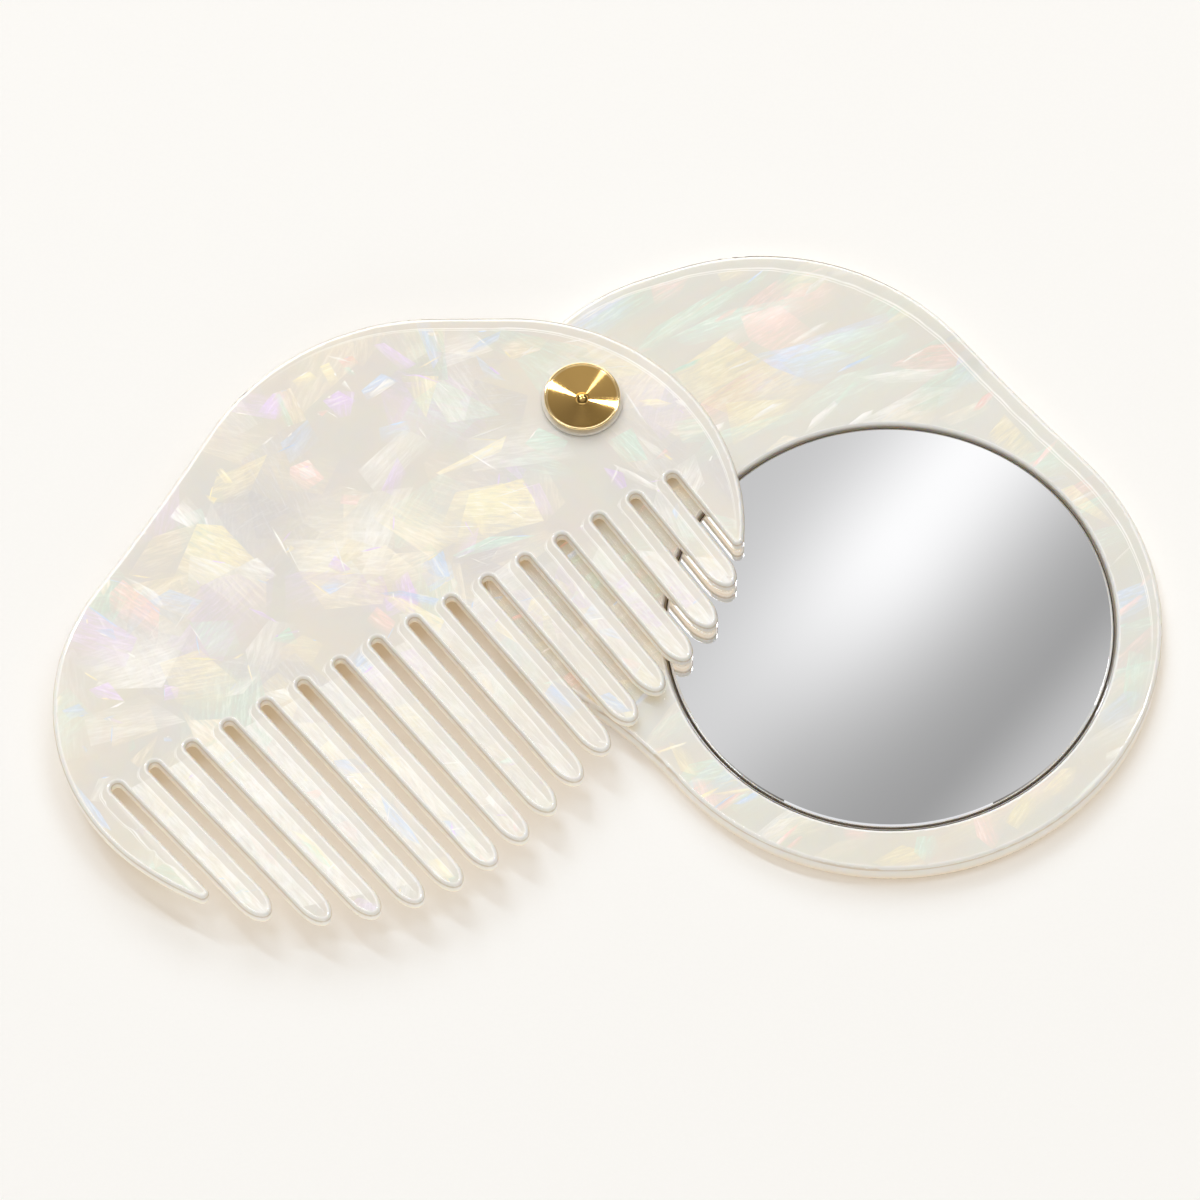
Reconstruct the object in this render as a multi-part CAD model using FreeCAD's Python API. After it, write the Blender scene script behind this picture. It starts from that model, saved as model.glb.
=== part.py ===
import FreeCAD, Part
import math
import os
from collections import namedtuple

from FreeCAD import Vector

# Pocket mirror comb: a pearl acetate comb leaf and a pearl acetate mirror leaf that turn on one
# gold pivot. Millimetres. The origin is below the middle of the mirror, on the underside that the
# part lies on. +X is right and +Y is away from someone who looks at the opened part, +Z is up.
#
# Each leaf is drawn in a leaf frame: the pivot is the origin, and u runs from the pivot to the far
# end of the closed leaf, through the middle of the mirror. v is square to u, and the teeth of the
# comb point to +v.

# How the leaves lie, in degrees about the pivot
mirror_leaf_heading = -38.5
comb_opening = 90.0

# Acetate sheets
mirror_leaf_thickness = 3.0
comb_leaf_thickness = 2.0
edge_round = 0.6

# Mirror and the pocket that it is glued into
mirror_distance = 50.7
mirror_radius = 29.0
mirror_thickness = 1.5
mirror_bevel = 0.45
mirror_gap = 0.25
mirror_recess = 0.15
pad_thickness = 0.3
pad_inset = 1.2
pocket_edge = 0.2
rim_width = 5.9

# Lobes of the leaf outlines: centre along u, centre across v, radius. Both leaves have the same
# pivot end. The tooth tips follow an arc that starts at the comb's far end, and the guards at the
# two ends of the row reach past it.
pivot_end_u, pivot_end_v, pivot_end_radius = 19.8, 4.0, 30.2
mirror_upper_u, mirror_upper_v, mirror_upper_radius = 25.1, 6.0, 33.6
mirror_lower_u, mirror_lower_v, mirror_lower_radius = 20.4, -12.0, 21.3
comb_lower_u, comb_lower_v, comb_lower_radius = 29.0, -1.0, 34.2
comb_far_u, comb_far_v, comb_far_radius = 59.1, -3.2, 28.8
comb_tip_radius = 37.2
guard_reach = 3.0

# Radii of the hollow flanks between lobes
mirror_upper_waist = 380.0
mirror_lower_waist = 70.0
comb_lower_waist = 350.0

# Comb teeth: the slots are saw cuts, which fan out a little, and the tips taper to a half oval
slot_count = 16
slot_width = 1.5
first_root_u, first_root_v = 80.9, -12.4
last_root_u, last_root_v = 1.4, 15.5
first_slot_heading = 80.0
last_slot_heading = 74.0
tooth_tip_length = 3.6
guard_tip_round = 0.9

# Pivot
post_radius = 2.25
pivot_clearance = 0.05
head_radius = 4.95
head_foot_radius = 4.4
head_height = 0.9
head_rim_width = 0.35
dish_depth = 0.7
nub_radius = 0.9
nub_height = 0.45
head_washer_radius = 5.25
head_washer_thickness = 0.25
leaf_washer_radius = 6.5
leaf_washer_thickness = 0.4
washer_bore_clearance = 0.1
rear_washer_radius = 4.3
rear_washer_thickness = 0.3
spring_radius = 4.1
spring_sheet = 0.25
spring_cone = 0.2
screw_head_radius = 4.0
screw_head_thickness = 0.7
screw_recess = 0.1
screw_edge_round = 0.15
screw_radius = 1.2
screw_clearance = 0.05
screw_length = 3.6
screw_slot_width = 0.8
screw_slot_depth = 0.35
rear_pocket_clearance = 0.3

# Heights that follow from the stack
comb_base = mirror_leaf_thickness + leaf_washer_thickness
comb_top = comb_base + comb_leaf_thickness
head_base = comb_top + head_washer_thickness
pocket_floor = mirror_leaf_thickness - mirror_recess - mirror_thickness - pad_thickness
glass_base = pocket_floor + pad_thickness
screw_head_top = screw_recess + screw_head_thickness
spring_top = screw_head_top + spring_cone + spring_sheet
rear_web = spring_top + rear_washer_thickness

# Tooth width that the slots leave, which limits how far a tip can taper before its rounded edges meet
root_line = Vector(last_root_u - first_root_u, last_root_v - first_root_v, 0)
root_square = math.degrees(math.atan2(root_line.y, root_line.x)) - 90
slot_lean = (first_slot_heading + last_slot_heading) / 2 - root_square
tooth_width = root_line.Length / (slot_count - 1) * math.cos(math.radians(slot_lean)) - slot_width
tip_length = min(tooth_tip_length, 0.9 * (tooth_width / 2)**2 / edge_round)
run_out = 2 * comb_tip_radius
oval_share = 4 / 3 * (math.sqrt(2) - 1)

same_point = 1e-3
Z = Vector(0, 0, 1)
Lobe = namedtuple("Lobe", "centre radius waist")


def unit(degrees):
    """Unit vector in the sheet's plane at an angle from u."""
    return Vector(math.cos(math.radians(degrees)), math.sin(math.radians(degrees)), 0)


pivot = unit(mirror_leaf_heading) * -mirror_distance


def lobe(u, v, radius, waist=None):
    """A round stretch of an outline; waist is the hollow radius of the flank that follows it."""
    return Lobe(Vector(u, v, 0), radius, waist)


def flank(near, following):
    """Where an outline leaves one lobe and meets the next, and the middle of a hollow flank."""
    across = following.centre - near.centre
    span = across.Length
    along = across * (1 / span)
    outward = Vector(along.y, -along.x, 0)
    if near.waist is None:
        lean = (near.radius - following.radius) / span
        normal = along * lean + outward * math.sqrt(max(0, 1 - lean**2))
        return near.centre + normal * near.radius, following.centre + normal * following.radius, None
    reach = near.radius + near.waist
    reach_next = following.radius + near.waist
    forward = (span**2 + reach**2 - reach_next**2) / (2 * span)
    hollow = near.centre + along * forward + outward * math.sqrt(reach**2 - forward**2)
    leave = near.centre + (hollow - near.centre) * (near.radius / reach)
    meet = following.centre + (hollow - following.centre) * (following.radius / reach_next)
    towards_leaf = (leave + meet) * 0.5 - hollow
    return leave, meet, hollow + towards_leaf.normalize() * near.waist


def lobe_arc(around, start, end):
    """Counter-clockwise arc of a lobe from one point on it to another."""
    first = math.atan2(start.y - around.centre.y, start.x - around.centre.x)
    last = math.atan2(end.y - around.centre.y, end.x - around.centre.x)
    turn = (last - first) % (2 * math.pi)
    middle = around.centre + unit(math.degrees(first + turn / 2)) * around.radius
    return Part.Arc(start, middle, end).toShape()


def outline(lobes):
    """Closed outline that runs round the lobes, counter-clockwise, with hollow flanks where stated."""
    flanks = [flank(near, lobes[(i + 1) % len(lobes)]) for i, near in enumerate(lobes)]
    edges = []
    for i, around in enumerate(lobes):
        leave, meet, hollow_middle = flanks[i]
        edges.append(lobe_arc(around, flanks[i - 1][1], leave))
        if hollow_middle is not None:
            edges.append(Part.Arc(leave, hollow_middle, meet).toShape())
        elif leave.distanceToPoint(meet) > same_point:
            edges.append(Part.LineSegment(leave, meet).toShape())
    return Part.Wire(edges)


def sheet(wire, base, thickness):
    """Flat sheet with the given outline."""
    solid = Part.Face(wire).extrude(Z * thickness)
    solid.translate(Z * base)
    return solid


def disc(radius, base, height, bore=0.0):
    """Disc about the z axis, with a round bore if one is given."""
    solid = Part.makeCylinder(radius, height, Z * base)
    if bore > 0:
        solid = solid.cut(Part.makeCylinder(bore, height, Z * base))
    return solid


def turned(edges):
    """Solid of revolution about the z axis from the edges of its half section."""
    return Part.Face(Part.Wire(edges)).revolve(Vector(), Z, 360)


def at(radius, height):
    """Point of a half section."""
    return Vector(radius, 0, height)


def lines(*points):
    """Straight edges from point to point."""
    return [Part.LineSegment(start, end).toShape() for start, end in zip(points, points[1:])]


def level_edges(solid, height):
    """Edges of a solid that lie flat at a height."""
    return [edge for edge in solid.Edges
            if abs(edge.BoundBox.ZMin - height) < 1e-6 and abs(edge.BoundBox.ZMax - height) < 1e-6]


def rounded_sheet(solid, base, thickness):
    """Sheet with all the edges of its two faces rounded."""
    return solid.makeFillet(edge_round, level_edges(solid, base) + level_edges(solid, base + thickness))


def on_leaf(solid, heading):
    """Place a solid drawn in a leaf frame."""
    solid.rotate(Vector(), Z, heading)
    solid.translate(pivot)
    return solid


def at_pivot(solid):
    """Place a solid drawn about the z axis on the pivot's axis."""
    solid.translate(pivot)
    return solid


pivot_end = lobe(pivot_end_u, pivot_end_v, pivot_end_radius)


def mirror_leaf():
    """Acetate leaf with the mirror's pocket, the pivot hole and the pocket for the rear stack."""
    pocket_radius = mirror_radius + mirror_gap
    wire = outline([
        lobe(mirror_distance, 0, pocket_radius + rim_width, mirror_upper_waist),
        lobe(mirror_upper_u, mirror_upper_v, mirror_upper_radius),
        pivot_end,
        lobe(mirror_lower_u, mirror_lower_v, mirror_lower_radius, mirror_lower_waist),
    ])
    leaf = rounded_sheet(sheet(wire, 0, mirror_leaf_thickness), 0, mirror_leaf_thickness)
    leaf = leaf.cut(disc(post_radius + pivot_clearance, 0, mirror_leaf_thickness))
    rear_pocket = max(rear_washer_radius, spring_radius, screw_head_radius) + rear_pocket_clearance
    leaf = leaf.cut(disc(rear_pocket, 0, rear_web))
    leaf = on_leaf(leaf, mirror_leaf_heading)
    leaf = leaf.cut(disc(pocket_radius, pocket_floor, mirror_leaf_thickness - pocket_floor))
    rim = [edge for edge in level_edges(leaf, mirror_leaf_thickness)
           if abs(edge.Length - 2 * math.pi * pocket_radius) < 1e-3]
    return leaf.makeChamfer(pocket_edge, rim)


def saw_line(number):
    """Root, heading and sideways direction of a slot, or half-way between two slots, of a tooth."""
    share = number / (slot_count - 1)
    root = Vector(first_root_u, first_root_v, 0) + root_line * share
    heading = unit(first_slot_heading + (last_slot_heading - first_slot_heading) * share)
    return root, heading, Vector(-heading.y, heading.x, 0)


def run_to(start, heading, wire):
    """How far it is from a point inside an outline to that outline."""
    line = Part.LineSegment(start, start + heading * run_out).toShape()
    return wire.section(line).Vertexes[0].Point.distanceToPoint(start)


def tooth_tip(number, edge, tip_line):
    """Tip of the tooth after a slot: on the tip line, or nearer where its oval would leave the leaf."""
    root, along, across = saw_line(number + 0.5)
    reach = run_to(root, along, tip_line)
    for share in (-0.7, -0.5, -0.3, 0.3, 0.5, 0.7):
        oval_drop = tip_length * (1 - math.sqrt(1 - share**2))
        beside = root + across * (share * tooth_width / 2)
        reach = min(reach, run_to(beside, along, edge) + oval_drop)
    return root + along * reach


def slot_side(start, number, side, tips):
    """Edges of one side of a slot, and its end past the leaf: straight, then round the tip of the
    tooth on that side. The guards at the two ends of the row have a straight side."""
    heading = saw_line(number)[1]
    if not 0 <= number + side < slot_count:
        end = start + heading * run_out
        return lines(start, end), end
    along, across = saw_line(number + side / 2)[1:]
    tip = tips[min(number, number + side)]
    shoulder = start + heading * ((tip - start).dot(heading) - tip_length)
    towards_slot = across * across.dot(start - tip)
    oval = Part.BezierCurve()
    oval.setPoles([shoulder, shoulder + heading * (oval_share * tip_length),
                   tip + towards_slot * oval_share, tip])
    end = tip + along * run_out + across * (side * slot_width)
    return [*lines(start, shoulder), oval.toShape(), *lines(tip, end)], end


def slot(number, tips):
    """One saw cut of the comb with a round root, which widens at its mouth round the tooth tips."""
    root, heading, across = saw_line(number)
    root_centre = root + heading * (slot_width / 2)
    left = root_centre + across * (slot_width / 2)
    right = root_centre - across * (slot_width / 2)
    left_edges, left_end = slot_side(left, number, 1, tips)
    right_edges, right_end = slot_side(right, number, -1, tips)
    edges = [Part.Arc(left, root, right).toShape(), *right_edges, *lines(right_end, left_end), *left_edges]
    return sheet(Part.Wire(Part.__sortEdges__(edges)), comb_base, comb_leaf_thickness)


def guard_tips(leaf):
    """Sharp upright edges of the comb, at the tips of its two guards."""
    return [edge for edge in leaf.Edges
            if edge.BoundBox.ZLength > comb_leaf_thickness / 2 and len(edge.Vertexes) == 2
            and corner_angle(leaf, edge) > 20]


def corner_angle(solid, edge):
    """Angle in degrees between the outward normals of the two faces that share an edge."""
    normals = []
    for face in solid.ancestorsOfType(edge, Part.Face):
        place = face.Surface.parameter(edge.CenterOfMass)
        normals.append(face.normalAt(*place))
    return math.degrees(normals[0].getAngle(normals[1]))


def comb_outline(tip_radius):
    """Outline of the comb leaf, with a given radius along the teeth."""
    return outline([
        lobe(comb_far_u + comb_far_radius - tip_radius, comb_far_v, tip_radius),
        pivot_end,
        lobe(comb_lower_u, comb_lower_v, comb_lower_radius, comb_lower_waist),
        lobe(comb_far_u, comb_far_v, comb_far_radius),
    ])


def comb_leaf():
    """Acetate leaf with saw-cut teeth, rounded tips and edges, and the pivot hole."""
    edge = comb_outline(comb_tip_radius + guard_reach)
    tip_line = comb_outline(comb_tip_radius)
    tips = [tooth_tip(number, edge, tip_line) for number in range(slot_count - 1)]
    leaf = sheet(edge, comb_base, comb_leaf_thickness)
    leaf = leaf.cut([slot(number, tips) for number in range(slot_count)]).Solids[0]
    leaf = leaf.makeFillet(guard_tip_round, guard_tips(leaf))
    leaf = rounded_sheet(leaf, comb_base, comb_leaf_thickness)
    leaf = leaf.cut(disc(post_radius + pivot_clearance, comb_base, comb_leaf_thickness))
    return on_leaf(leaf, mirror_leaf_heading - comb_opening)


def mirror_glass():
    """Silvered glass disc with a ground bevel round its face."""
    glass = disc(mirror_radius, glass_base, mirror_thickness)
    return glass.makeChamfer(mirror_bevel, level_edges(glass, glass_base + mirror_thickness))


def mirror_pad():
    """Double-sided adhesive disc that holds the glass in its pocket."""
    return disc(mirror_radius - pad_inset, pocket_floor, pad_thickness)


def pivot_post():
    """Gold post: a dished head with a raised rim and a nub, and a tapped shank through both leaves."""
    bead = head_rim_width / 2
    rim_outside = at(head_radius, head_height - bead)
    rim_inside = at(head_radius - head_rim_width, head_height - bead)
    dish_floor = head_height - dish_depth
    nub_foot = at(nub_radius, dish_floor)
    nub_top = at(0, dish_floor + nub_height)
    nub_sphere = (nub_radius**2 + nub_height**2) / (2 * nub_height)
    nub_turn = math.atan2(nub_radius, nub_sphere - nub_height) / 2
    nub_side = at(nub_sphere * math.sin(nub_turn), nub_top.z - nub_sphere * (1 - math.cos(nub_turn)))
    head = turned([
        *lines(nub_top, at(0, 0), at(head_foot_radius, 0), rim_outside),
        Part.Arc(rim_outside, at(head_radius - bead, head_height), rim_inside).toShape(),
        *lines(rim_inside, nub_foot),
        Part.Arc(nub_foot, nub_side, nub_top).toShape(),
    ])
    head.translate(Z * head_base)
    shank = disc(post_radius, screw_head_top, head_base - screw_head_top)
    tapped = disc(screw_radius + screw_clearance, screw_head_top, screw_length)
    return at_pivot(head.fuse(shank).cut(tapped).removeSplitter())


def pivot_screw():
    """Rear screw with a thin slotted head that lies inside the mirror leaf's underside."""
    head = disc(screw_head_radius, screw_recess, screw_head_thickness)
    head = head.makeFillet(screw_edge_round, level_edges(head, screw_recess))
    shank = disc(screw_radius, screw_head_top, screw_length - screw_clearance)
    driver_slot = Part.makeBox(2 * screw_head_radius, screw_slot_width, screw_slot_depth,
                               Vector(-screw_head_radius, -screw_slot_width / 2, screw_recess))
    return at_pivot(head.fuse(shank).cut(driver_slot).removeSplitter())


def disc_spring():
    """Conical spring washer: its inner edge bears on the screw, its outer edge on the rear washer."""
    bore = post_radius + washer_bore_clearance
    inner_foot = at(bore, screw_head_top)
    return at_pivot(turned(lines(
        inner_foot,
        at(spring_radius, screw_head_top + spring_cone),
        at(spring_radius, spring_top),
        at(bore, screw_head_top + spring_sheet),
        inner_foot,
    )))


def washer(radius, base, thickness):
    """Flat washer on the post."""
    return at_pivot(disc(radius, base, thickness, post_radius + washer_bore_clearance))


pieces = {
    "mirror_leaf": mirror_leaf(),
    "mirror_glass": mirror_glass(),
    "mirror_adhesive_pad": mirror_pad(),
    "comb_leaf": comb_leaf(),
    "pivot_post": pivot_post(),
    "pivot_screw": pivot_screw(),
    "head_washer": washer(head_washer_radius, comb_top, head_washer_thickness),
    "leaf_washer": washer(leaf_washer_radius, mirror_leaf_thickness, leaf_washer_thickness),
    "rear_washer": washer(rear_washer_radius, spring_top, rear_washer_thickness),
    "disc_spring": disc_spring(),
}

os.makedirs("parts", exist_ok=True)
for name, piece in pieces.items():
    print(name, piece.ShapeType, len(piece.Solids), piece.isValid(), round(piece.Volume, 2))
    piece.exportStep("parts/" + name + ".step")
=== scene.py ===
import math
import random
from collections import namedtuple

import bpy
from mathutils import Matrix, Vector
from mathutils.geometry import delaunay_2d_cdt
from mathutils.kdtree import KDTree


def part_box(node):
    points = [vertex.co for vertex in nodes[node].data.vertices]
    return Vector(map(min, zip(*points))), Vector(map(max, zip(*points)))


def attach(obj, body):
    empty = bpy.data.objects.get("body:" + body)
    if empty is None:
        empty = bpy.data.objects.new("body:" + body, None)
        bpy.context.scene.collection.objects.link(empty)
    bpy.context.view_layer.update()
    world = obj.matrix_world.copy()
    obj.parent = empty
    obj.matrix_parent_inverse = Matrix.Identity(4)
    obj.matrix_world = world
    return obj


# Pocket mirror comb, in metres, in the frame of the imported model. Values in millimetres say so.
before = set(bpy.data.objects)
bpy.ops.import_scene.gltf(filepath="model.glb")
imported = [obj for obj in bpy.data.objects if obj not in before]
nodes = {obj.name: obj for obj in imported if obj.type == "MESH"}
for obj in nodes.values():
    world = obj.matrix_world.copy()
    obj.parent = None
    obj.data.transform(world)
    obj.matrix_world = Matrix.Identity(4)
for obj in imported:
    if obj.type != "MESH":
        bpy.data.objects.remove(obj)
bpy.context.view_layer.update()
MM = 0.001

# Where the photograph was taken from: degrees above the floor, with lens and sensor in millimetres
camera_elevation = 63.0
camera_target = Vector((-37.37, 3.77, 2.85)) * MM
view_width = 154.84 * MM
camera_lens = 600.0
camera_sensor = 36.0

# A ramp turns a value between start and end into low to high
Ramp = namedtuple("Ramp", "start end low high", defaults=(0.0, 1.0))


def srgb(red, green, blue):
    """Linear colour from a colour as it looks on screen, 0 to 255."""
    def linear(value):
        share = value / 255
        return share / 12.92 if share <= 0.04045 else ((share + 0.055) / 1.055) ** 2.4
    return linear(red), linear(green), linear(blue), 1.0


def centre_of(node):
    """Middle of a CAD node's box."""
    low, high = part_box(node)
    return (low + high) / 2


def radius_of(node):
    """Half the width of a round CAD node."""
    low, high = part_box(node)
    return (high.x - low.x) / 2


def added(name, data):
    """A new object in the scene."""
    made = bpy.data.objects.new(name, data)
    bpy.context.scene.collection.objects.link(made)
    return made


def square(name, half, material):
    """A flat square about the origin, with half its width in metres."""
    data = bpy.data.meshes.new(name)
    corners = [(-half, -half, 0), (half, -half, 0), (half, half, 0), (-half, half, 0)]
    data.from_pydata(corners, [], [(0, 1, 2, 3)])
    data.materials.append(material)
    return added(name, data)


class Nodes:
    """Short ways to add nodes to a tree."""

    def __init__(self, tree):
        self.tree = tree

    def put(self, socket, value):
        """Link a socket, or set its own value."""
        if isinstance(value, bpy.types.NodeSocket):
            self.tree.links.new(value, socket)
        else:
            socket.default_value = value

    def node(self, kind, inputs=(), **settings):
        """Add a node; inputs is a dict of socket names or numbers."""
        made = self.tree.nodes.new("ShaderNode" + kind)
        for name, value in settings.items():
            setattr(made, name, value)
        for name, value in dict(inputs).items():
            self.put(made.inputs[name], value)
        return made

    def math(self, operation, *values):
        return self.node("Math", dict(enumerate(values)), operation=operation).outputs[0]

    def times(self, first, *others):
        """Product of some values."""
        for other in others:
            first = self.math("MULTIPLY", first, other)
        return first

    def vector(self, operation, *values):
        return self.node("VectorMath", dict(enumerate(values)), operation=operation).outputs[0]

    def dot(self, first, second):
        return self.node("VectorMath", {0: first, 1: second}, operation="DOT_PRODUCT").outputs["Value"]

    def span(self, value, start, end, low=0.0, high=1.0, smooth=False):
        """Value between start and end, turned into low to high."""
        inputs = {"Value": value, "From Min": start, "From Max": end, "To Min": low, "To Max": high}
        kind = "SMOOTHSTEP" if smooth else "LINEAR"
        return self.node("MapRange", inputs, interpolation_type=kind, clamp=True).outputs["Result"]

    def stripe(self, value, middle, half):
        """1 at the middle of a stripe, and 0 from its edges out."""
        away = self.math("ABSOLUTE", self.math("SUBTRACT", value, middle))
        return self.span(away, half, 0.0, smooth=True)

    def mix(self, share, first, second, blend="MIX"):
        made = self.node("Mix", data_type="RGBA", blend_type=blend)
        self.put(made.inputs[0], share)
        self.put(made.inputs[6], first)
        self.put(made.inputs[7], second)
        return made.outputs[2]


class Shader(Nodes):
    """A material with one Principled shader."""

    def __init__(self, name):
        self.material = bpy.data.materials.new(name)
        self.material.use_nodes = True
        super().__init__(self.material.node_tree)
        self.shader = self.tree.nodes["Principled BSDF"]

    def set(self, **values):
        """Set or link inputs of the shader; underscores stand for spaces."""
        for name, value in values.items():
            self.put(self.shader.inputs[name.replace("_", " ")], value)

    def show(self, result):
        """Give the surface the look of another shader."""
        self.put(self.tree.nodes["Material Output"].inputs[0], result)

    def noise(self, place, scale, detail=2.0, roughness=0.5, distortion=0.0):
        inputs = {"Vector": place, "Scale": scale, "Detail": detail, "Roughness": roughness,
                  "Distortion": distortion}
        return self.node("TexNoise", inputs)

    def attribute(self, name):
        """The three values that a mesh attribute carries."""
        carried = self.node("Attribute", attribute_name=name).outputs["Vector"]
        return self.node("SeparateXYZ", {0: carried}).outputs

    def facing(self):
        """Direction that the surface faces, and its upward share."""
        normal = self.node("NewGeometry").outputs["Normal"]
        return normal, self.node("SeparateXYZ", {0: normal}).outputs["Z"]

    def place(self, turn=0.0, stretch=1.0):
        """Place on the piece in millimetres, turned about z, and drawn out along its x."""
        on_piece = self.node("TexCoord").outputs["Object"]
        scale = (1 / (MM * stretch), 1 / MM, 1 / MM)
        turned = self.node("Mapping", {"Vector": on_piece, "Rotation": (0, 0, math.radians(turn))})
        return self.node("Mapping", {"Vector": turned.outputs[0], "Scale": scale}).outputs[0]

    def lets_light(self, colour):
        """Tint the light that passes through, instead of stopping it."""
        through = self.node("BsdfTransparent", {"Color": colour}).outputs[0]
        shade = self.node("LightPath").outputs["Is Shadow Ray"]
        self.show(self.node("MixShader", {0: shade, 1: self.shader.outputs[0], 2: through}).outputs[0])

    def bump(self, height, strength, distance):
        inputs = {"Height": height, "Strength": strength, "Distance": distance}
        return self.node("Bump", inputs).outputs[0]


# Pearl flakes
tints = {
    "gold": srgb(255, 245, 212),
    "cream": srgb(251, 242, 224),
    "lilac": srgb(238, 220, 254),
    "blue": srgb(216, 231, 255),
    "mint": srgb(219, 240, 228),
    "pink": srgb(255, 224, 217),
    "white": srgb(255, 254, 250),
    "grey": srgb(214, 213, 216),
    # Painted warm shade at the foot of a leaf's side
    "painted_shade_tan": srgb(222, 198, 162),
}
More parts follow.
